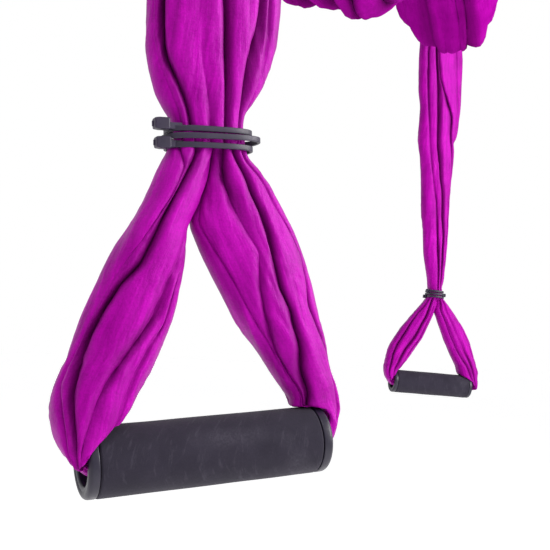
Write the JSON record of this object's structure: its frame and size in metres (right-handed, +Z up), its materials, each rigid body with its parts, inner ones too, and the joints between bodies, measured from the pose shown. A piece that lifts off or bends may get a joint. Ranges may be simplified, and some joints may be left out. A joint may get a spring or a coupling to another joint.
{
  "type": "aerial yoga hammock",
  "caption": "Aerial yoga hammock: a gathered nylon sling hung from screw-lock carabiners, with a long fabric strap on each side that ends in a foam-gripped hand loop.",
  "frame": {"origin": "inner crown of the near carabiner, where the ceiling eye bears", "axes": "+Z up; +X from the near hang point to the far one; +Y to the left when looking along +X"},
  "size_m": [1.2383, 0.222, 1.4345],
  "materials": {
    "nylon": "satin",
    "foam": "matte",
    "cap": "satin",
    "core": "matte",
    "tie": "satin",
    "steel": "satin",
    "sleeve": "satin",
    "webbing": "matte"
  },
  "bodies": {
    "root": {"hammock_near_arm": "nylon", "hammock_seat": "nylon", "hammock_far_arm": "nylon", "near_end_webbing": "webbing", "near_end_binding": "webbing", "near_carabiner_body": "steel", "near_gate_pin": "steel", "far_end_webbing": "webbing", "far_end_binding": "webbing", "far_carabiner_body": "steel", "far_gate_pin": "steel"},
    "near_gate": {"near_carabiner_gate": "steel", "near_gate_plunger": "steel", "near_gate_spring": "steel"},
    "near_lock": {"near_lock_sleeve": "sleeve"},
    "near_strap": {"near_strap_cloth": "nylon"},
    "near_loop": {"near_left_leg": "nylon", "near_right_leg": "nylon", "near_inner_cloth": "nylon", "near_cable_tie_top": "tie", "near_cable_tie_middle": "tie", "near_cable_tie_bottom": "tie"},
    "near_grip": {"near_foam_grip": "foam", "near_core_tube": "core", "near_end_cap_left": "cap", "near_end_cap_right": "cap"},
    "far_gate": {"far_carabiner_gate": "steel", "far_gate_plunger": "steel", "far_gate_spring": "steel"},
    "far_lock": {"far_lock_sleeve": "sleeve"},
    "far_strap": {"far_strap_cloth": "nylon"},
    "far_loop": {"far_left_leg": "nylon", "far_right_leg": "nylon", "far_inner_cloth": "nylon", "far_cable_tie_top": "tie", "far_cable_tie_middle": "tie", "far_cable_tie_bottom": "tie"},
    "far_grip": {"far_foam_grip": "foam", "far_core_tube": "core", "far_end_cap_left": "cap", "far_end_cap_right": "cap"}
  },
  "joints": [
    {"name": "near_gate_hinge", "type": "hinge", "parent": "root", "child": "near_gate", "pos_m": [-0.03418, 0, -0.07533], "axis": [0, 1, 0], "range_deg": [0, 25], "stiffness_Nm_per_rad": 0.4, "springref_deg": -20.05},
    {"name": "near_lock_slide", "type": "slide", "parent": "near_gate", "child": "near_lock", "axis": [0.1738, 0, 0.9848], "range_m": [0, 0.008]},
    {"name": "near_strap_swing", "type": "hinge", "parent": "root", "child": "near_strap", "pos_m": [-0.0135, 0, -0.097], "axis": [1, 0, 0], "range_deg": [-60, 60]},
    {"name": "near_loop_twist", "type": "hinge", "parent": "near_strap", "child": "near_loop", "pos_m": [-0.0135, 0, -1.2165], "axis": [0, 0, 1], "range_deg": [-90, 90], "stiffness_Nm_per_rad": 0.02},
    {"name": "near_grip_spin", "type": "hinge", "parent": "near_loop", "child": "near_grip", "pos_m": [-0.01255, -0.00116, -1.4], "axis": [0.6331, -0.7694, 0.0854], "continuous": true},
    {"name": "far_gate_hinge", "type": "hinge", "parent": "root", "child": "far_gate", "pos_m": [1.14318, 0, -0.07533], "axis": [0, -1, 0], "range_deg": [0, 25], "stiffness_Nm_per_rad": 0.4, "springref_deg": -20.05},
    {"name": "far_lock_slide", "type": "slide", "parent": "far_gate", "child": "far_lock", "axis": [-0.1738, 0, 0.9848], "range_m": [0, 0.008]},
    {"name": "far_strap_swing", "type": "hinge", "parent": "root", "child": "far_strap", "pos_m": [1.1225, 0, -0.097], "axis": [1, 0, 0], "range_deg": [-60, 60]},
    {"name": "far_loop_twist", "type": "hinge", "parent": "far_strap", "child": "far_loop", "pos_m": [1.1225, 0, -1.2395], "axis": [0, 0, 1], "range_deg": [-90, 90], "stiffness_Nm_per_rad": 0.02},
    {"name": "far_grip_spin", "type": "hinge", "parent": "far_loop", "child": "far_grip", "pos_m": [1.12136, 0.00211, -1.4031], "axis": [0.4741, -0.8787, -0.0558], "continuous": true}
  ]
}
